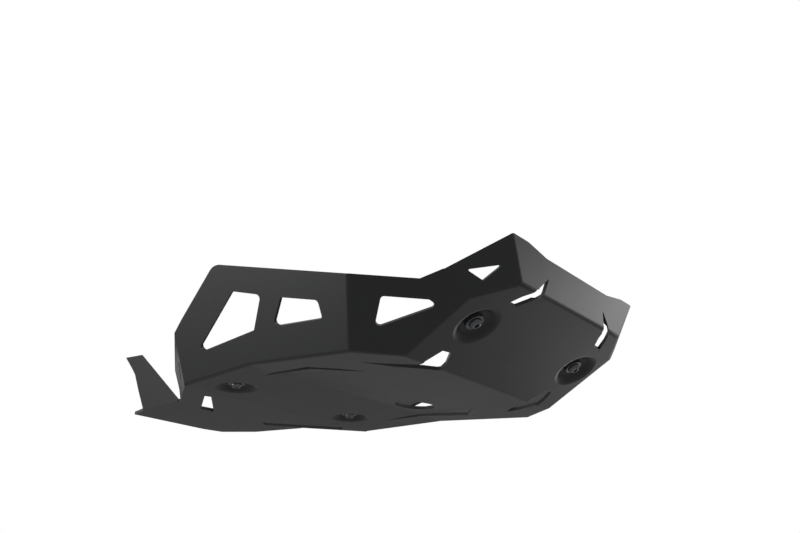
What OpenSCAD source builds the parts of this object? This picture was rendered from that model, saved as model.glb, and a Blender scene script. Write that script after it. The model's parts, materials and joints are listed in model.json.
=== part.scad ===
// Folded sheet guard that hangs under an engine, held by four screws in pressed dimples.
// X points forward, Y to the left of the vehicle and Z up. The origin is on the flat
// middle panel's underside, on the fold between it and the front panel.

/* [Sheet] */
// thickness of the aluminium sheet
sheet_t = 4; // [3:0.5:5]
// outer radius of the pressed folds
bend_r = 7; // [5:0.5:9]

/* [Bottom profile] */
// length of the flat middle panel, from the front fold back to the rear fold
middle_len = 132; // [120:1:150]
// rise of the tail panel towards the rear
tail_rise = 1.2; // [0.5:0.1:5]
// length of the tail panel behind the rear fold
tail_len = 199; // [175:1:225]
// distance along X from the middle fold to the foot of the front ramp
front_len = 198; // [180:1:220]
// fall of the front panel towards the ramp
front_drop = 5.3; // [3:0.1:8]
// slope of the front ramp
ramp_slope = 28.5; // [24:0.5:33]
// distance along X from the foot of the ramp to the lip
ramp_run = 114; // [105:1:125]
// slope of the upright lip
lip_slope = 80.8; // [74:0.2:86]
// height of the lip's top edge over its middle
lip_top = 82; // [76:1:90]

/* [Side walls] */
// lean of the long walls away from upright
wall_lean = 36.4; // [30:0.2:42]
// lean of the middle walls
knee_lean = 46.4; // [40:0.2:52]
// lean of the front wings
wing_lean = 24; // [18:0.5:30]
// turn of the front wings towards the front
wing_turn = 59.5; // [54:0.5:64]
// height of the walls at their rear top corner
wall_top = 94; // [85:1:105]
// X of that corner
wall_top_x = 10; // [0:1:30]
// height of the walls at the knee
knee_top = 45; // [40:1:50]

/* [Right side] */
// half width at the middle fold
right_half = 169; // [160:1:180]
// turn of the long wall
right_turn = -8.5; // [-10:0.5:-6]
// distance from the foot of the ramp back to the knee
right_knee = 44; // [38:1:50]
// turn of the wall in front of the knee
right_knee_turn = 32.5; // [30:0.5:36]
// distance from the lip back to the shoulder
right_shoulder = 34; // [30:1:38]

/* [Left side] */
// half width at the middle fold
left_half = 197; // [185:1:205]
// turn of the long wall
left_turn = -2; // [-4:0.5:0]
// distance from the foot of the ramp back to the knee
left_knee = 58; // [52:1:64]
// turn of the wall in front of the knee
left_knee_turn = 37; // [34:0.5:40]
// distance from the lip back to the shoulder
left_shoulder = 27; // [24:1:32]

/* [Fixings] */
// distance along X from the foot of the ramp to the front pair of screws
front_screw_x = 57.5; // [50:0.5:65]
// distance from the middle fold back to the rear pair of screws
rear_screw_x = 90; // [80:0.5:95]
// distance between the two screws of a pair
screw_pitch = 210; // [200:1:220]
// radius of a pressed dimple's rim
dimple_r = 24.2; // [22:0.1:26]
// depth of a dimple
dimple_depth = 8; // [7:0.5:9]
// radius a dimple loses for each millimetre of its depth
dimple_taper = 1.09; // [0.9:0.01:1.2]
// nominal diameter of the screws
screw_d = 8; // [6:1:8]
// length of a screw under its head
screw_len = 40; // [30:1:50]
// radius of the washers
washer_r = 10.1; // [9:0.1:12]
// thickness of the washers
washer_t = 2; // [1.5:0.1:2.5]
// length of the spacer sleeves
spacer_len = 20; // [18:1:25]

/* [Openings] */
// radius of the service opening in the front panel
service_r = 26.4; // [22:0.1:30]
// distance along the front panel from its fold to the centre of the service opening
service_x = 38.7; // [34:0.1:46]
// distance of the service opening's centre from the middle of the guard
service_y = 83.5; // [76:0.1:90]
// radius of the corners of the windows in the walls
window_r = 4; // [2:0.5:5]

/* [Hidden] */
$fn = 64;
// larger than the guard, for the blocks that cut it
far = 600;
// height of those blocks, above every wall
high = wall_top + 56;
// half the depth of a cut through a panel
through = 3 * sheet_t;

// profile points of the underside, seen from the side
ramp_z = -front_len * tan(front_drop);
lip_x = front_len + ramp_run;
lip_z = ramp_z + ramp_run * tan(ramp_slope);
ramp_len = ramp_run / cos(ramp_slope);

// one side's settings, given as for the right side and read by the functions below
RIGHT = [
    right_half, right_turn, front_len - right_knee, right_knee_turn, lip_x - right_shoulder,
    [[-75, 93], [31 - tail_len, 80], [-tail_len, 71]],
    [[-21, 42], [8, 38], [59, 28], [90, 47], [111, 66], [90, 56], [57, 38], [8, 45]],
    [[-63, 6], [-40, 20], [-8, 36], [2, 31], [20, 37], [21, 50], [6, 62], [-6, 64], [-16, 53],
     [-43, 34]],
];
LEFT = [
    left_half, left_turn, front_len - left_knee, left_knee_turn, lip_x - left_shoulder,
    [[-62, 123], [53 - tail_len, 110], [7 - tail_len, 84], [-tail_len, 54]],
    [[-61, 50], [5, 44], [68, 37], [90, 64], [111, 84], [58, 63], [-1, 56]],
    [[-61, -4], [-37, 5], [-4, 25], [6, 25], [21, 30], [21, 43], [4, 51], [-19, 36], [-47, 11]],
];
function half_width(s) = s[0];
function turn(s) = s[1];
function knee_x(s) = s[2];
function knee_turn(s) = s[3];
function shoulder_x(s) = s[4];
// the tail's edge behind the rear fold
function tail_edge(s) = s[5];
// the slot by the middle fold, from the corner between that fold and the wall
function middle_slot(s) = s[6];
// the slot across the foot of the ramp, from the corner between that fold and the wall
function ramp_slot(s) = s[7];

// a plane is its outward normal and its distance from the origin
function plane(normal, point) = [normal, normal * point];
function floor_plane(x, z, slope) = plane([sin(slope), 0, -cos(slope)], [x, 0, z]);
function wall_plane(turn, lean, point) =
    plane([sin(turn) * cos(lean), -cos(turn) * cos(lean), -sin(lean)], point);
function across(x) = plane([1, 0, 0], [x, 0, 0]);
function level(z) = plane([0, 0, 1], [0, 0, z]);
// the point where three planes meet
function meet(p, q, r) =
    (p[1] * cross(q[0], r[0]) + q[1] * cross(r[0], p[0]) + r[1] * cross(p[0], q[0]))
    / (p[0] * cross(q[0], r[0]));

middle_plane = floor_plane(0, 0, 0);
front_plane = floor_plane(0, 0, -front_drop);
ramp_plane = floor_plane(front_len, ramp_z, ramp_slope);
lip_plane = floor_plane(lip_x, lip_z, lip_slope);

// the walls and corners of one side, given as for the right side
function middle_foot(s) = [0, -half_width(s), 0];
function long_wall(s) = wall_plane(turn(s), wall_lean, middle_foot(s));
function rear_foot(s) = meet(long_wall(s), middle_plane, across(-middle_len));
function knee_foot(s) = meet(long_wall(s), front_plane, across(knee_x(s)));
function knee_wall(s) = wall_plane(knee_turn(s), knee_lean, knee_foot(s));
function ramp_foot(s) = meet(knee_wall(s), front_plane, ramp_plane);
function shoulder(s) = meet(knee_wall(s), ramp_plane, across(shoulder_x(s)));
function wing_wall(s) = wall_plane(wing_turn, wing_lean, shoulder(s));
function lip_foot(s) = meet(wing_wall(s), ramp_plane, lip_plane);

// the walls' rear edge steps in here, and the gussets join it below the step
step_x = -middle_len + 24;
step_z = 51;

// runs the children for the right side as they are and for the left side mirrored
module on_side(s) mirror([0, s == LEFT ? 1 : 0, 0]) children();

// stands the children on a wall: X runs forward along it, Y up its slope, Z out of it
module on_wall(turn, lean, foot)
    translate(foot) rotate([0, 90 + lean, turn - 90]) rotate([0, 0, 90]) children();

// lays the children on a bottom panel: X runs forward along it, Z points into the guard
module on_floor(x, z, slope) translate([x, 0, z]) rotate([0, -slope, 0]) children();
module on_front() on_floor(0, 0, -front_drop) children();
module on_ramp() on_floor(front_len, ramp_z, ramp_slope) children();
module on_lip() on_floor(lip_x, lip_z, lip_slope) children();
module on_tail() on_floor(-middle_len, 0, -tail_rise) children();

// lays the children in a frame with its origin at a point and its axes as given
module on_axes(x, y, z, origin)
    multmatrix([
        [x.x, y.x, z.x, origin.x], [x.y, y.y, z.y, origin.y], [x.z, y.z, z.z, origin.z],
    ]) children();

// lays the children in the plane of three points: X from a to b and Y towards c
module on_points(a, b, c) {
    x = (b - a) / norm(b - a);
    z = cross(x, c - a) / norm(cross(x, c - a));
    on_axes(x, cross(z, x), z, a) children();
}

module beyond() translate([-far, -far, 0]) cube([2 * far, 2 * far, far]);

// all that lies outside a side's walls once they are moved in by a distance
module outside_walls(s, inset) on_side(s) {
    on_wall(turn(s), wall_lean, middle_foot(s)) translate([0, 0, -inset]) beyond();
    on_wall(knee_turn(s), knee_lean, knee_foot(s)) translate([0, 0, -inset]) beyond();
    on_wall(wing_turn, wing_lean, shoulder(s)) translate([0, 0, -inset]) beyond();
}

// the room enclosed by the panels, all of them moved in by a distance
module tub(inset) difference() {
    union() {
        translate([-middle_len - inset, -far, inset]) cube([middle_len + inset + 1, 2 * far, high]);
        difference() {
            translate([0, -far, inset - high]) cube([far, 2 * far, 2 * high]);
            on_front() translate([0, 0, inset]) mirror([0, 0, 1]) beyond();
            on_ramp() translate([0, 0, inset]) mirror([0, 0, 1]) beyond();
            on_lip() translate([0, 0, inset]) mirror([0, 0, 1]) beyond();
        }
    }
    outside_walls(RIGHT, inset);
    outside_walls(LEFT, inset);
}

// cuts the sharp corner between two panels back to the fold's outer radius, in flats
module fold(p, q, a, b) {
    x = (p[0] + q[0]) / norm(p[0] + q[0]);
    z = (b - a) / norm(b - a);
    half = acos(min(1, p[0] * q[0])) / 2;
    reach = 3;
    function arc(k) = bend_r * [cos(k * half) - 1 / cos(half), sin(k * half)];
    on_axes(x, cross(z, x), z, a) translate([0, 0, -reach])
        linear_extrude(norm(b - a) + 2 * reach) polygon([
            [bend_r + 1, 0], 1.5 * arc(-1) - 0.5 * arc(-1/3), arc(-1/3), arc(1/3),
            1.5 * arc(1) - 0.5 * arc(1/3),
        ]);
}

module folds(s) on_side(s) {
    top = level(high - 20);
    fold(long_wall(s), middle_plane, rear_foot(s), middle_foot(s));
    fold(long_wall(s), front_plane, middle_foot(s), knee_foot(s));
    fold(knee_wall(s), front_plane, knee_foot(s), ramp_foot(s));
    fold(knee_wall(s), ramp_plane, ramp_foot(s), shoulder(s));
    fold(wing_wall(s), ramp_plane, shoulder(s), lip_foot(s));
    fold(long_wall(s), knee_wall(s), knee_foot(s), meet(long_wall(s), knee_wall(s), top));
    fold(knee_wall(s), wing_wall(s), shoulder(s), meet(knee_wall(s), wing_wall(s), top));
    fold(wing_wall(s), lip_plane, lip_foot(s), meet(wing_wall(s), lip_plane, top));
}

module cross_fold(p, q, foot_right, foot_left)
    fold(p, q, foot_right, [foot_left.x, -foot_left.y, foot_left.z]);

// the walls' outline seen from the side
module side_outline() {
    bottom = ramp_z - 2 * through;
    polygon([
        [-middle_len, bottom], [-middle_len, 0], [step_x, step_z], [step_x + 23, step_z + 9],
        [wall_top_x - 14, wall_top - 5], [wall_top_x, wall_top], [wall_top_x + 14, wall_top - 4],
        [lip_x - 121, knee_top], [lip_x - 65, knee_top - 5], [lip_x - 41, knee_top + 2],
        [lip_x + 8, lip_top + 6], [lip_x + 33, lip_top + 18], [lip_x + 33, bottom],
    ]);
}

// a round-cornered window, its corners given as shares of the wall's length and rise
module window(size, corners, r = window_r)
    translate([0, 0, -through]) linear_extrude(2 * through) offset(r, $fn = 32)
        offset(delta = -r) polygon([for (c = corners) [c.x * size.x, c.y * size.y]]);

module wall_windows(s) on_side(s) {
    knee = knee_foot(s);
    long_size = [norm(knee - rear_foot(s)), (wall_top - knee.z) / cos(wall_lean)];
    knee_size = [
        (shoulder_x(s) - knee_x(s)) / cos(knee_turn(s)), (knee_top - knee.z) / cos(knee_lean),
    ];
    wing_size = [
        (lip_x - shoulder_x(s)) / cos(wing_turn), (lip_top - shoulder(s).z) / cos(wing_lean),
    ];
    on_wall(turn(s), wall_lean, knee) {
        window(long_size, [[-0.437, 0.743], [-0.295, 0.632], [-0.42, 0.387], [-0.826, 0.364]]);
        window(long_size, [[-0.201, 0.558], [-0.031, 0.439], [-0.049, 0.297], [-0.312, 0.364]]);
    }
    on_wall(knee_turn(s), knee_lean, knee)
        window(knee_size, [[0.245, 0.71], [0.558, 0.651], [0.612, 0.57], [0.184, 0.302]]);
    on_wall(wing_turn, wing_lean, shoulder(s))
        window(wing_size, [[-0.119, 0.417], [0.433, 0.578], [0.164, 0.289]], window_r / 4);
}

module floor_slots(s) on_side(s) {
    slot_z = ramp_z - through;
    translate([middle_foot(s).x, middle_foot(s).y, slot_z])
        linear_extrude(sheet_t - slot_z + 1) polygon(middle_slot(s));
    translate([front_len, ramp_foot(s).y, slot_z])
        linear_extrude(2.5 * through) polygon(ramp_slot(s));
    // across the fold at the foot of the lip
    on_ramp() translate([ramp_len, -screw_pitch / 2, -through]) linear_extrude(2 * through)
        polygon([[-25, 5], [-12, 12], [2, 24], [2, 36], [-13, 28], [-25, 19]]);
    on_lip() translate([0, -screw_pitch / 2, -through]) linear_extrude(2 * through)
        polygon([[-3, 22], [6, 28], [20, 44], [5, 39], [-3, 34]]);
}

// the panel behind the flat middle, with its two tapered slots
module tail_panel() difference() {
    right = [for (p = tail_edge(RIGHT)) [p.x, -p.y]];
    left = tail_edge(LEFT);
    on_tail() linear_extrude(sheet_t) difference() {
        polygon(concat(
            [[20, rear_foot(RIGHT).y], [0, rear_foot(RIGHT).y]], right,
            [for (i = [len(left) - 1:-1:0]) left[i]],
            [[0, -rear_foot(LEFT).y], [20, -rear_foot(LEFT).y]]
        ));
        polygon([[-23, -98], [-20, -90], [-86, -27], [-89, -47]]);
        polygon([[-86, 62], [-95, 78], [-21, 162], [-9, 150]]);
    }
    // the overlap joins the tail to the middle panel
    translate([0.5 - middle_len, -far, -far]) cube(2 * far);
}

// a point on the tail's underside, given on its edge
function on_tail_edge(p) = [p.x - middle_len, -p.y, -p.x * tan(tail_rise)];

// triangular panels that close the corners between the walls and the tail
module gusset(s) on_side(s) {
    foot = rear_foot(s);
    end = on_tail_edge(tail_edge(s)[0]);
    top = meet(long_wall(s), across(step_x), level(step_z));
    w = norm(end - foot);
    h = norm(cross(top - foot, end - foot)) / w;
    on_points(foot, end, top) linear_extrude(sheet_t) difference() {
        polygon([
            [0, 0], [w, 0], [0.75 * w, 0.2 * h], [0.65 * w, 0.62 * h], [0.28 * w, 0.75 * h],
            [(top - foot) * (end - foot) / w, h],
        ]);
        polygon([[-9, 0.5 * h], [-3, 0.54 * h], [24, 0.25 * h], [21, 0.23 * h]]);
    }
}

// wings that stand up from the edges of the tail
module tail_wing(s) on_side(s) {
    front = on_tail_edge(tail_edge(s)[0] - [5, 0]);
    rear = on_tail_edge(tail_edge(s)[1]);
    w = norm(rear - front);
    outward = [0, -0.36, 1];
    on_points(front, rear, front + outward) linear_extrude(sheet_t) polygon([
        [0, 0], [w, 0], [w + 3, 28], [w + 4, 51], [w + 8, 59], [w + 19, 77], [w - 18, 74],
    ]);
}

// stands the children on a screw's axis, with Z from the panel's outer face into the guard
module at_screw(front, side)
    if (front)
        on_ramp() translate([front_screw_x / cos(ramp_slope), side * screw_pitch / 2, 0])
            children();
    else
        translate([-rear_screw_x, side * screw_pitch / 2, 0]) children();

module at_screws() for (front = [true, false]) for (side = [-1, 1])
    at_screw(front, side) children();

// clearance between a screw and what it passes through
screw_gap = 0.2;
// the shank is waisted up to the free, threaded end that stands out of the spacer
shank_r = 0.45 * screw_d;
sleeve_r = screw_d / 2 + 1.5;
// the grommet's neck fills the hole in the dimple's floor
hole_r = sleeve_r + 2.5;
lip_r = hole_r + 2.5;
lip_t = 1.5;
head_h = 0.55 * screw_d;
head_r = 0.875 * screw_d;
dimple_floor_r = dimple_r - dimple_taper * dimple_depth;
// the washer lies under the grommet's outer lip, and the head under the washer
grommet_z = dimple_depth - lip_t;
washer_z = grommet_z - washer_t;

// the pressed dimple's inner face, which stays the sheet's thickness from its outer face
module dimple_wall() {
    top_r = dimple_floor_r + sheet_t * (sqrt(1 + pow(dimple_taper, 2)) - dimple_taper);
    h = dimple_depth + sheet_t;
    cylinder(h = h, r1 = top_r + dimple_taper * h, r2 = top_r);
}

module guard_plate() color("#26272a") difference() {
    union() {
        intersection() {
            difference() {
                tub(0);
                tub(sheet_t);
                folds(RIGHT);
                folds(LEFT);
                cross_fold(front_plane, ramp_plane, ramp_foot(RIGHT), ramp_foot(LEFT));
                cross_fold(ramp_plane, lip_plane, lip_foot(RIGHT), lip_foot(LEFT));
            }
            translate([0, far, 0]) rotate([90, 0, 0]) linear_extrude(2 * far) side_outline();
        }
        tail_panel();
        for (s = [RIGHT, LEFT]) {
            gusset(s);
            tail_wing(s);
        }
        at_screws() dimple_wall();
    }
    at_screws() {
        translate([0, 0, -0.01])
            cylinder(h = dimple_depth + 0.01, r1 = dimple_r + 0.01, r2 = dimple_floor_r);
        cylinder(h = 3 * dimple_depth, r = hole_r);
    }
    on_front() translate([service_x, service_y, -through])
        cylinder(h = 2 * through, r = service_r);
    // the dip in the lip's top edge
    translate([lip_x - 12, 0, 0]) rotate([90, 0, 90]) linear_extrude(60) polygon([
        [-122, lip_top + 7.5], [-69, lip_top], [68, lip_top], [124, lip_top + 8],
        [124, high], [-122, high],
    ]);
    for (s = [RIGHT, LEFT]) {
        wall_windows(s);
        floor_slots(s);
    }
}

// a button-head screw with a six-lobed drive
module screw() color("#1c1d1f") difference() {
    union() {
        translate([0, 0, washer_z]) cylinder(h = screw_len, r = shank_r);
        translate([0, 0, grommet_z + spacer_len])
            cylinder(h = screw_len - washer_t - spacer_len, r = screw_d / 2);
        translate([0, 0, washer_z]) rotate_extrude() polygon([
            [0, -head_h], [0.48 * head_r, -head_h], [0.8 * head_r, -0.72 * head_h],
            [0.96 * head_r, -0.4 * head_h], [head_r, -0.12 * head_h], [head_r, 0], [0, 0],
        ]);
    }
    translate([0, 0, washer_z - head_h - 1]) linear_extrude(1 + 0.55 * head_h) {
        circle(0.3 * screw_d);
        for (a = [0:60:300]) rotate(a) translate([0.31 * screw_d, 0]) circle(0.1 * screw_d);
    }
}

module washer() color("#2a2b2d") translate([0, 0, washer_z]) difference() {
    cylinder(h = washer_t, r = washer_r);
    translate([0, 0, -1]) cylinder(h = washer_t + 2, r = screw_d / 2 + screw_gap);
}

// a rubber ring whose two lips hold it in the dimple's hole
module grommet() color("#18181a") translate([0, 0, grommet_z]) difference() {
    union() {
        cylinder(h = lip_t, r = lip_r);
        cylinder(h = 2 * lip_t + sheet_t, r = hole_r);
        translate([0, 0, lip_t + sheet_t]) cylinder(h = lip_t, r = lip_r);
    }
    translate([0, 0, -1]) cylinder(h = spacer_len, r = sleeve_r);
}

// a flanged sleeve that keeps the screw from crushing the rubber
module spacer() color("#8f9194") translate([0, 0, grommet_z]) difference() {
    union() {
        cylinder(h = spacer_len, r = sleeve_r);
        translate([0, 0, 2 * lip_t + sheet_t]) cylinder(h = 2, r = lip_r);
    }
    translate([0, 0, -1]) cylinder(h = spacer_len + 2, r = screw_d / 2 + screw_gap);
}

guard_plate();
at_screw(true, 1) screw();  // front_left_screw
at_screw(true, -1) screw();  // front_right_screw
at_screw(false, 1) screw();  // rear_left_screw
at_screw(false, -1) screw();  // rear_right_screw
at_screw(true, 1) washer();  // front_left_washer
at_screw(true, -1) washer();  // front_right_washer
at_screw(false, 1) washer();  // rear_left_washer
at_screw(false, -1) washer();  // rear_right_washer
at_screw(true, 1) grommet();  // front_left_grommet
at_screw(true, -1) grommet();  // front_right_grommet
at_screw(false, 1) grommet();  // rear_left_grommet
at_screw(false, -1) grommet();  // rear_right_grommet
at_screw(true, 1) spacer();  // front_left_spacer
at_screw(true, -1) spacer();  // front_right_spacer
at_screw(false, 1) spacer();  // rear_left_spacer
at_screw(false, -1) spacer();  // rear_right_spacer
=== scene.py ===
"""Dresses the folded engine guard in its finishes and sets it up in a plain studio."""

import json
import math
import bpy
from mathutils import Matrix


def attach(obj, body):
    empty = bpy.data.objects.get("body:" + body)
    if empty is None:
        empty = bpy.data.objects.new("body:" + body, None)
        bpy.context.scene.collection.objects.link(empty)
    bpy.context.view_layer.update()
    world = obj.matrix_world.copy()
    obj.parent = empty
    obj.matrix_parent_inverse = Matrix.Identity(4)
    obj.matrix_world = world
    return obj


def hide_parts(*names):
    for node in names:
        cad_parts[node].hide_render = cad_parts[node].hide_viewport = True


bl_info = {
    "name": "Engine Guard",
    "version": (1, 0, 0),
    "blender": (4, 5, 0),
    "location": "3D View > Sidebar > Engine Guard",
    "description": "Builds the folded plate, its fixings and the studio round them",
    "category": "Object",
}

import bmesh
import bpy
from bpy.props import FloatProperty, FloatVectorProperty, IntProperty, PointerProperty
from mathutils import Matrix, Vector

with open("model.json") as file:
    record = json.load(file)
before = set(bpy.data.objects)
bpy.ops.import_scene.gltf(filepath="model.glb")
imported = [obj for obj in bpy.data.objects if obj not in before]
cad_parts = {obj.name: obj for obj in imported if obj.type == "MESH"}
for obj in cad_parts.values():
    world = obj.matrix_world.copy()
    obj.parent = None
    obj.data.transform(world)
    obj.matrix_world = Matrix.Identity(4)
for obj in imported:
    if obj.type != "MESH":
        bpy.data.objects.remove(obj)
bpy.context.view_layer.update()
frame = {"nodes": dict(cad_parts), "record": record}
MOUNTS = {mount["name"]: mount for mount in frame["record"]["mounts"]}
CORNERS = ("front_left", "front_right", "rear_left", "rear_right")
MM = 0.001

# how the plate's edges are told apart, in mm and radians
DIMPLE_REACH = 34.0  # a dimple lies within this of its screw's axis
RIM_TURN = (0.5, 0.95)  # how far the sheet turns at a dimple's rim and floor
CUT_TURN = 1.1  # the sheet's cut edges turn further than any fold
FLAT_TURN = math.radians(0.4)  # faces that turn less are one flat face
WALL_TOP = 93.0  # only the walls' top corners stand above this
CORNER_EDGE = 8.0  # the edges through the sheet are shorter than this

# the fixings, in mm: radii, and heights along the screw from the spacer's free end
THREAD_R, THREAD_ROOT_R, SHANK_R, TIP_R = 4.0, 3.42, 3.6, 3.3
SOCKET_R, FLOOR_R, SOCKET_FLOOR, HEAD_SEAT = 2.75, 1.9, -24.0, -22.0
THREAD_TOP, SCREW_TIP = 17.2, 18.0
WASHER_R, WASHER_TOP, BORE_R = 10.1, -20.0, 4.2
SLEEVE_R, PLATE_HOLE_R, RUBBER_LIP_R = 5.5, 8.0, 10.5
PLATE_OUTSIDE, PLATE_INSIDE, GROMMET_TOP, FLANGE_TOP = -18.5, -14.5, -13.0, -11.0
LOBES, LOBE_DEPTH = 6, 0.14  # round the socket, and as a share of its radius
LOBED_RINGS = 2  # the foot and the top of the socket's wall
HALF_CREST = 0.08  # half a thread's flat crest, as a share of the pitch


def linear(code):
    """The linear colour of an sRGB hex code such as 1e1f21, with alpha."""
    channels = [int(code[i : i + 2], 16) / 255 for i in (0, 2, 4)]
    return (
        *(c / 12.92 if c <= 0.04045 else ((c + 0.055) / 1.055) ** 2.4 for c in channels),
        1.0,
    )


def mm(name, text, value):
    """A length that a user can change, its default given in millimetres."""
    return FloatProperty(
        name=name, description=text, default=value * MM, min=0.0, precision=5, unit="LENGTH"
    )


def hue(name, text, code):
    """A finish's colour that a user can change."""
    return FloatVectorProperty(
        name=name, description=text, default=linear(code), size=4, subtype="COLOR", min=0, max=1
    )


class GuardSizes(bpy.types.PropertyGroup):
    """The sizes that only the dressed part has"""

    edge_break: mm("Edge break", "Rounding of the cut edges", 0.45)
    press_radius: mm("Press radius", "Rounding of the dimples' rims and floors", 5.0)
    top_corner: mm("Top corner", "How far the walls' top corners are rounded", 10.0)
    thread_pitch: mm("Thread pitch", "Distance from one thread to the next", 1.25)
    turned_steps: IntProperty(
        name="Turned steps", description="Steps round each turned piece", default=64, min=16
    )


class GuardFinishes(bpy.types.PropertyGroup):
    """The colours of the finishes and of the studio floor"""

    powder_coat: hue("Powder coat", "The plate's satin black powder coat", "131416")
    black_zinc: hue("Black zinc", "The screws' and washers' black passivated zinc", "4a4b4e")
    rubber: hue("Rubber", "The grommets' black rubber", "17171a")
    bright_zinc: hue("Bright zinc", "The spacers' clear passivated zinc", "b9bdc2")
    floor: hue("Floor", "The studio floor", "e0e0de")


def add(tree, kind, values=None, links=None, **settings):
    """Adds a shader node with its settings, input values and incoming links."""
    node = tree.nodes.new(kind)
    for name, value in settings.items():
        setattr(node, name, value)
    for socket, value in (values or {}).items():
        node.inputs[socket].default_value = value
    for socket, output in (links or {}).items():
        tree.links.new(output, node.inputs[socket])
    return node


def new_material(name):
    """An empty material and its shader tree."""
    material = bpy.data.materials.new(name)
    material.use_nodes = True
    material.node_tree.nodes.clear()
    return material, material.node_tree


def satin_powder_coat(colour):
    """Polyester powder coat, sprayed and oven cured: an even satin black, faintly rippled."""
    material, tree = new_material("satin_powder_coat")
    place = add(tree, "ShaderNodeTexCoord").outputs["Object"]
    # the cured film's ripples are about 1.2 mm apart, drawn at 2.5 mm so that they show
    peel = add(tree, "ShaderNodeTexNoise", {"Scale": 400.0, "Detail": 2.0, "Roughness": 0.45},
               {"Vector": place})
    # the film lies a little thicker and glossier in patches a hand wide
    film = add(tree, "ShaderNodeTexNoise", {"Scale": 14.0, "Detail": 3.0}, {"Vector": place})
    gloss = add(tree, "ShaderNodeMapRange", {"To Min": 0.43, "To Max": 0.48},
                {"Value": film.outputs["Fac"]})
    darker = tuple(0.82 * c for c in colour[:3]) + (1.0,)
    tone = add(tree, "ShaderNodeMix", {"A": colour, "B": darker},
               {"Factor": film.outputs["Fac"]}, data_type="RGBA")
    relief = add(tree, "ShaderNodeBump", {"Strength": 0.25, "Distance": 0.06 * MM},
                 {"Height": peel.outputs["Fac"]})
    # the matting agent scatters about half of what a smooth film of this resin would reflect
    shader = add(tree, "ShaderNodeBsdfPrincipled", {"IOR": 1.52, "Specular IOR Level": 0.24},
                 {"Base Color": tone.outputs["Result"], "Roughness": gloss.outputs["Result"],
                  "Normal": relief.outputs["Normal"]})
    add(tree, "ShaderNodeOutputMaterial", links={"Surface": shader.outputs["BSDF"]})
    return material


def black_passivated_zinc(colour):
    """Zinc-plated steel under a black passivate: a dark metal with a faint blotchy sheen."""
    material, tree = new_material("black_passivated_zinc")
    place = add(tree, "ShaderNodeTexCoord").outputs["Object"]
    # the passivate mottles at about 1.5 mm
    mottle = add(tree, "ShaderNodeTexNoise", {"Scale": 650.0, "Detail": 3.0}, {"Vector": place})
    gloss = add(tree, "ShaderNodeMapRange", {"To Min": 0.3, "To Max": 0.42},
                {"Value": mottle.outputs["Fac"]})
    shader = add(tree, "ShaderNodeBsdfPrincipled", {"Base Color": colour, "Metallic": 0.8},
                 {"Roughness": gloss.outputs["Result"]})
    add(tree, "ShaderNodeOutputMaterial", links={"Surface": shader.outputs["BSDF"]})
    return material


def moulded_rubber(colour):
    """Moulded EPDM rubber: dull black with the fine texture of a spark-eroded mould."""
    material, tree = new_material("moulded_epdm_rubber")
    place = add(tree, "ShaderNodeTexCoord").outputs["Object"]
    # the mould's texture is 0.3 mm, drawn at 0.6 mm so that it shows close up
    grain = add(tree, "ShaderNodeTexNoise", {"Scale": 1600.0, "Detail": 2.0}, {"Vector": place})
    relief = add(tree, "ShaderNodeBump", {"Strength": 0.4, "Distance": 0.05 * MM},
                 {"Height": grain.outputs["Fac"]})
    shader = add(tree, "ShaderNodeBsdfPrincipled",
                 {"Base Color": colour, "Roughness": 0.72, "IOR": 1.52},
                 {"Normal": relief.outputs["Normal"]})
    add(tree, "ShaderNodeOutputMaterial", links={"Surface": shader.outputs["BSDF"]})
    return material


def clear_passivated_zinc(colour):
    """Turned steel, zinc plated and clear passivated: a soft silver with a faint cloudiness."""
    material, tree = new_material("clear_passivated_zinc")
    place = add(tree, "ShaderNodeTexCoord").outputs["Object"]
    # the plating's clouds are about 3 mm across
    cloud = add(tree, "ShaderNodeTexNoise", {"Scale": 330.0, "Detail": 4.0}, {"Vector": place})
    gloss = add(tree, "ShaderNodeMapRange", {"To Min": 0.28, "To Max": 0.42},
                {"Value": cloud.outputs["Fac"]})
    shader = add(tree, "ShaderNodeBsdfPrincipled", {"Base Color": colour, "Metallic": 1.0},
                 {"Roughness": gloss.outputs["Result"]})
    add(tree, "ShaderNodeOutputMaterial", links={"Surface": shader.outputs["BSDF"]})
    return material


def screw_seat(corner):
    """Places a screw's own axis: origin at the spacer's free end, Z pointing out of it."""
    mount = MOUNTS[corner + "_screw_end"]
    axis = Vector(mount["axis"]).normalized()
    end = Vector(mount["pos_m"]) - axis * mount["dims"]["length_mm"] * MM / 2
    return Matrix.Translation(end) @ axis.to_track_quat("Z", "Y").to_matrix().to_4x4()


def finish_piece(name, bm, material, slot, *nodes):
    """Makes a mesh a piece of the guard, and hides the solids it stands for."""
    mesh = bpy.data.meshes.new(name)
    bm.to_mesh(mesh)
    bm.free()
    mesh.shade_smooth()
    mesh.materials.append(material)
    piece = bpy.data.objects.new(name, mesh)
    bpy.context.scene.collection.objects.link(piece)
    shading = piece.modifiers.new("flat panels, round edges", "WEIGHTED_NORMAL")
    shading.mode = "FACE_AREA"
    shading.weight = 100
    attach(piece, "root")
    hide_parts(*nodes)


def round_edges(bm, edges, radius, segments):
    """Rounds a mesh's edges, no further than the faces beside them allow."""
    bmesh.ops.bevel(bm, geom=edges, offset=radius, offset_type="OFFSET", segments=segments,
                    profile=0.5, affect="EDGES", clamp_overlap=True, material=-1)


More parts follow.
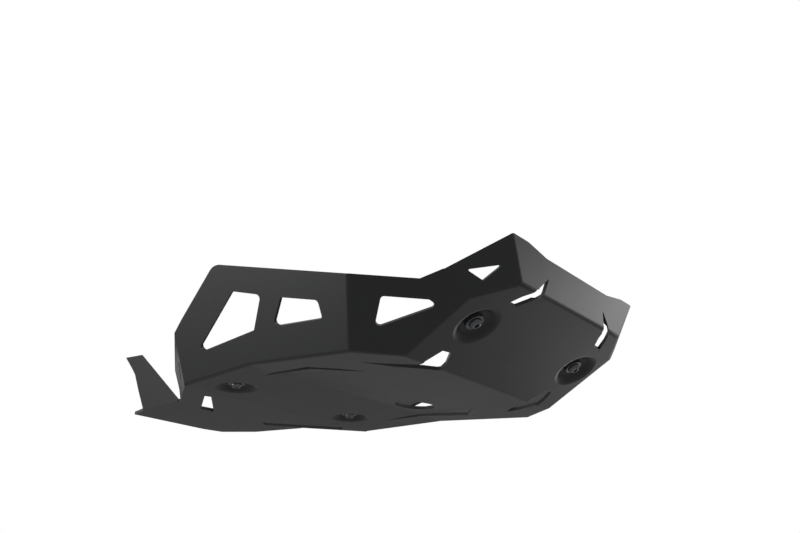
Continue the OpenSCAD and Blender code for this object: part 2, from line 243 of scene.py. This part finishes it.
def turned(profile, rounding, steps):
    """A closed ring turned about Z from a profile of radius and height in mm, corners rounded."""
    bm = bmesh.new()
    section = bm.faces.new([bm.verts.new((r * MM, 0, z * MM)) for r, z in profile])
    bmesh.ops.bevel(bm, geom=list(section.verts), offset=rounding * MM, segments=2, profile=0.5,
                    affect="VERTICES", material=-1)
    bmesh.ops.delete(bm, geom=list(bm.faces), context="FACES_ONLY")
    bmesh.ops.spin(bm, geom=bm.verts[:] + bm.edges[:], cent=(0, 0, 0), axis=(0, 0, 1),
                   angle=math.tau, steps=steps, use_merge=True)
    bmesh.ops.remove_doubles(bm, verts=bm.verts, dist=0.001 * MM)
    bmesh.ops.recalc_face_normals(bm, faces=bm.faces)
    return bm


def turned_screw(pitch, steps):
    """A button-head screw with a six-lobed socket, a waisted shank and a threaded end."""
    bm = bmesh.new()
    bmesh.ops.create_circle(bm, cap_ends=True, segments=steps, radius=FLOOR_R * MM,
                            matrix=Matrix.Translation((0, 0, SOCKET_FLOOR * MM)))
    edges = [edge for face in bm.faces for edge in face.edges]
    # the socket's wall, its chamfer, the crown, the seat and the shank
    rings = [(SOCKET_R, SOCKET_FLOOR), (SOCKET_R, -26.15), (3.0, -26.4), (3.4, -26.4),
             (4.6, -26.0), (5.6, -25.2), (6.4, -24.2), (6.85, -23.0), (7.0, -22.3),
             (6.9, HEAD_SEAT), (SHANK_R, HEAD_SEAT), (SHANK_R, 0.0), (THREAD_R, 0.0)]
    crest = HALF_CREST * pitch
    foot = 0.0
    while foot + pitch < THREAD_TOP:
        rings += [(THREAD_R, foot + crest), (THREAD_ROOT_R, foot + pitch / 2),
                  (THREAD_R, foot + pitch - crest)]
        foot += pitch
    rings += [(THREAD_R, THREAD_TOP), (TIP_R, SCREW_TIP), (0.4, SCREW_TIP)]
    for place, (radius, height) in enumerate(rings):
        made = bmesh.ops.extrude_edge_only(bm, edges=edges)["geom"]
        edges = [item for item in made if isinstance(item, bmesh.types.BMEdge)
                 and len(item.link_faces) == 1]
        for vert in {vert for edge in edges for vert in edge.verts}:
            turn = math.atan2(vert.co.y, vert.co.x)
            lobe = 1.0 - LOBE_DEPTH * math.cos(LOBES * turn) if place < LOBED_RINGS else 1.0
            vert.co = (radius * lobe * MM * math.cos(turn), radius * lobe * MM * math.sin(turn),
                       height * MM)
    bmesh.ops.contextual_create(bm, geom=edges)
    bmesh.ops.recalc_face_normals(bm, faces=bm.faces)
    return bm


def at_each_screw(bm, finish, slot, piece, node):
    """Fits a copy of a fixing at each of the four screws."""
    for corner in CORNERS:
        fitted = bm.copy()
        fitted.transform(screw_seat(corner))
        finish_piece(f"{corner}_{piece}", fitted, finish, slot, f"{corner}_{node}")
    bm.free()


class GUARD_OT_plate(bpy.types.Operator):
    """Builds the folded plate with its pressed radii, rounded corners and broken edges"""

    bl_idname = "guard.plate"
    bl_label = "Folded plate"

    def execute(self, context):
        sizes, finishes = context.scene.guard_sizes, context.scene.guard_finishes
        bm = bmesh.new()
        bm.from_mesh(frame["nodes"]["guard_plate"].data)
        bmesh.ops.remove_doubles(bm, verts=bm.verts, dist=0.01 * MM)
        bmesh.ops.dissolve_limit(bm, angle_limit=FLAT_TURN, verts=bm.verts, edges=bm.edges)
        seats = [screw_seat(corner).inverted() for corner in CORNERS]

        def near_screw(edge):
            return any(
                all((seat @ vert.co).to_2d().length < DIMPLE_REACH * MM for vert in edge.verts)
                for seat in seats
            )

        def turning(edge):
            return edge.calc_face_angle(0.0) if len(edge.link_faces) == 2 else 0.0

        rims = [edge for edge in bm.edges
                if RIM_TURN[0] < turning(edge) < RIM_TURN[1] and near_screw(edge)]
        round_edges(bm, rims, sizes.press_radius, segments=6)
        tips = [edge for edge in bm.edges if edge.calc_length() < CORNER_EDGE * MM
                and all(vert.co.z > WALL_TOP * MM for vert in edge.verts)]
        round_edges(bm, tips, sizes.top_corner, segments=6)
        cut_edges = [edge for edge in bm.edges if turning(edge) > CUT_TURN]
        round_edges(bm, cut_edges, sizes.edge_break, segments=2)
        finish_piece("folded_plate", bm, satin_powder_coat(finishes.powder_coat),
                     "black_powder_coat", "guard_plate")
        return {"FINISHED"}


class GUARD_OT_screws(bpy.types.Operator):
    """Builds the four button-head screws"""

    bl_idname = "guard.screws"
    bl_label = "Screws"

    def execute(self, context):
        sizes, finishes = context.scene.guard_sizes, context.scene.guard_finishes
        screw = turned_screw(sizes.thread_pitch / MM, sizes.turned_steps)
        finish = black_passivated_zinc(finishes.black_zinc)
        at_each_screw(screw, finish, "black_steel", "button_screw", "screw")
        return {"FINISHED"}


class GUARD_OT_washers(bpy.types.Operator):
    """Builds the washer under each screw's head"""

    bl_idname = "guard.washers"
    bl_label = "Washers"

    def execute(self, context):
        sizes, finishes = context.scene.guard_sizes, context.scene.guard_finishes
        profile = [(BORE_R, HEAD_SEAT), (WASHER_R, HEAD_SEAT), (WASHER_R, WASHER_TOP),
                   (BORE_R, WASHER_TOP)]
        washer = turned(profile, rounding=0.35, steps=sizes.turned_steps)
        finish = black_passivated_zinc(finishes.black_zinc)
        at_each_screw(washer, finish, "black_steel", "flat_washer", "washer")
        return {"FINISHED"}


class GUARD_OT_grommets(bpy.types.Operator):
    """Builds the rubber grommet in each dimple's hole"""

    bl_idname = "guard.grommets"
    bl_label = "Grommets"

    def execute(self, context):
        sizes, finishes = context.scene.guard_sizes, context.scene.guard_finishes
        profile = [(SLEEVE_R, WASHER_TOP), (RUBBER_LIP_R, WASHER_TOP),
                   (RUBBER_LIP_R, PLATE_OUTSIDE), (PLATE_HOLE_R, PLATE_OUTSIDE),
                   (PLATE_HOLE_R, PLATE_INSIDE), (RUBBER_LIP_R, PLATE_INSIDE),
                   (RUBBER_LIP_R, GROMMET_TOP), (SLEEVE_R, GROMMET_TOP)]
        grommet = turned(profile, rounding=0.4, steps=sizes.turned_steps)
        finish = moulded_rubber(finishes.rubber)
        at_each_screw(grommet, finish, "rubber", "rubber_ring", "grommet")
        return {"FINISHED"}


class GUARD_OT_spacers(bpy.types.Operator):
    """Builds the flanged sleeve inside each grommet"""

    bl_idname = "guard.spacers"
    bl_label = "Spacers"

    def execute(self, context):
        sizes, finishes = context.scene.guard_sizes, context.scene.guard_finishes
        profile = [(BORE_R, WASHER_TOP), (SLEEVE_R, WASHER_TOP), (SLEEVE_R, GROMMET_TOP),
                   (RUBBER_LIP_R, GROMMET_TOP), (RUBBER_LIP_R, FLANGE_TOP),
                   (SLEEVE_R, FLANGE_TOP), (SLEEVE_R, 0.0), (BORE_R, 0.0)]
        spacer = turned(profile, rounding=0.25, steps=sizes.turned_steps)
        finish = clear_passivated_zinc(finishes.bright_zinc)
        at_each_screw(spacer, finish, "zinc_steel", "flanged_sleeve", "spacer")
        return {"FINISHED"}


def lay_floor(scene):
    """A wide matt floor, one metre under the guard."""
    bm = bmesh.new()
    bmesh.ops.create_grid(bm, x_segments=2, y_segments=2, size=25.0,
                          matrix=Matrix.Translation((0, 0, -1.0)))
    mesh = bpy.data.meshes.new("studio_floor")
    bm.to_mesh(mesh)
    bm.free()
    material, tree = new_material("matt_floor_paint")
    shader = add(tree, "ShaderNodeBsdfDiffuse",
                 {"Color": scene.guard_finishes.floor, "Roughness": 0.5})
    add(tree, "ShaderNodeOutputMaterial", links={"Surface": shader.outputs["BSDF"]})
    mesh.materials.append(material)
    floor = bpy.data.objects.new("studio_floor", mesh)
    scene.collection.objects.link(floor)


def hang_backdrop(scene):
    """A surround that is white to the camera and in reflections, and a dim light otherwise."""
    world = bpy.data.worlds.new("studio_backdrop")
    scene.world = world
    world.use_nodes = True
    tree = world.node_tree
    tree.nodes.clear()
    rays = add(tree, "ShaderNodeLightPath")
    seen = add(tree, "ShaderNodeMath", {}, {0: rays.outputs["Is Camera Ray"],
                                           1: rays.outputs["Is Glossy Ray"]},
               operation="MAXIMUM")
    strength = add(tree, "ShaderNodeMapRange", {"To Min": 0.38, "To Max": 1.0},
                   {"Value": seen.outputs["Value"]})
    light = add(tree, "ShaderNodeBackground", {"Color": (1, 1, 1, 1)},
                {"Strength": strength.outputs["Result"]})
    add(tree, "ShaderNodeOutputWorld", links={"Surface": light.outputs["Background"]})


def soft_box(name, place, target, size, energy):
    """A square lamp that faces a point, and that the camera doesn't see."""
    lamp = bpy.data.lights.new(name, "AREA")
    lamp.shape = "SQUARE"
    lamp.size = size
    lamp.energy = energy
    holder = bpy.data.objects.new(name, lamp)
    holder.location = place
    holder.visible_camera = False
    holder.rotation_euler = (Vector(target) - Vector(place)).to_track_quat("-Z", "Y").to_euler()
    bpy.context.scene.collection.objects.link(holder)


def place_camera(scene):
    """The camera at the photograph's viewing angle, from its own axes and its place."""
    lens = bpy.data.cameras.new("camera")
    lens.sensor_width = 36.0
    lens.lens = 40.91
    lens.clip_start = 0.01
    camera = bpy.data.objects.new("camera", lens)
    right = Vector((0.7933, 0.6087, 0.0078))
    up = Vector((0.2172, -0.295, 0.9305))
    turn = Matrix((right, up, right.cross(up))).transposed().to_4x4()
    camera.matrix_world = Matrix.Translation((0.7223, -0.8358, -0.2638)) @ turn
    scene.collection.objects.link(camera)
    scene.camera = camera


class GUARD_OT_studio(bpy.types.Operator):
    """Sets up the floor, the backdrop, the lamps and the camera"""

    bl_idname = "guard.studio"
    bl_label = "Studio"

    def execute(self, context):
        lay_floor(context.scene)
        hang_backdrop(context.scene)
        soft_box("overhead_lamp", place=(1.5, 0.1, 1.0), target=(1.5, 0.1, 0),
                 size=1.4, energy=32)
        soft_box("near_side_lamp", place=(-0.95, -1.2, -0.3), target=(0, -0.1, 0.03),
                 size=0.8, energy=13)
        soft_box("lip_lamp", place=(0.5, 0.44, 0.14), target=(0.31, 0.12, 0.07),
                 size=0.16, energy=0.42)
        soft_box("far_side_lamp", place=(0.1, 1.4, -0.3), target=(0.24, -0.1, 0.01),
                 size=0.3, energy=1.3)
        place_camera(context.scene)
        context.scene.view_settings.view_transform = "Standard"
        return {"FINISHED"}


class GUARD_PT_panel(bpy.types.Panel):
    bl_label = "Engine Guard"
    bl_idname = "GUARD_PT_panel"
    bl_space_type = "VIEW_3D"
    bl_region_type = "UI"
    bl_category = "Engine Guard"

    def draw(self, context):
        for group in (context.scene.guard_sizes, context.scene.guard_finishes):
            box = self.layout.box()
            for name in group.__annotations__:
                box.prop(group, name)
        for operator in OPERATORS:
            self.layout.operator(operator.bl_idname)


OPERATORS = (
    GUARD_OT_studio, GUARD_OT_plate, GUARD_OT_screws, GUARD_OT_washers, GUARD_OT_grommets,
    GUARD_OT_spacers,
)
CLASSES = (GuardSizes, GuardFinishes) + OPERATORS + (GUARD_PT_panel,)


def register():
    for cls in CLASSES:
        bpy.utils.register_class(cls)
    bpy.types.Scene.guard_sizes = PointerProperty(type=GuardSizes)
    bpy.types.Scene.guard_finishes = PointerProperty(type=GuardFinishes)


def unregister():
    del bpy.types.Scene.guard_finishes
    del bpy.types.Scene.guard_sizes
    for cls in reversed(CLASSES):
        bpy.utils.unregister_class(cls)


def main():
    register()
    bpy.ops.guard.studio()
    bpy.ops.guard.plate()
    bpy.ops.guard.screws()
    bpy.ops.guard.washers()
    bpy.ops.guard.grommets()
    bpy.ops.guard.spacers()


if __name__ == "__main__":
    main()
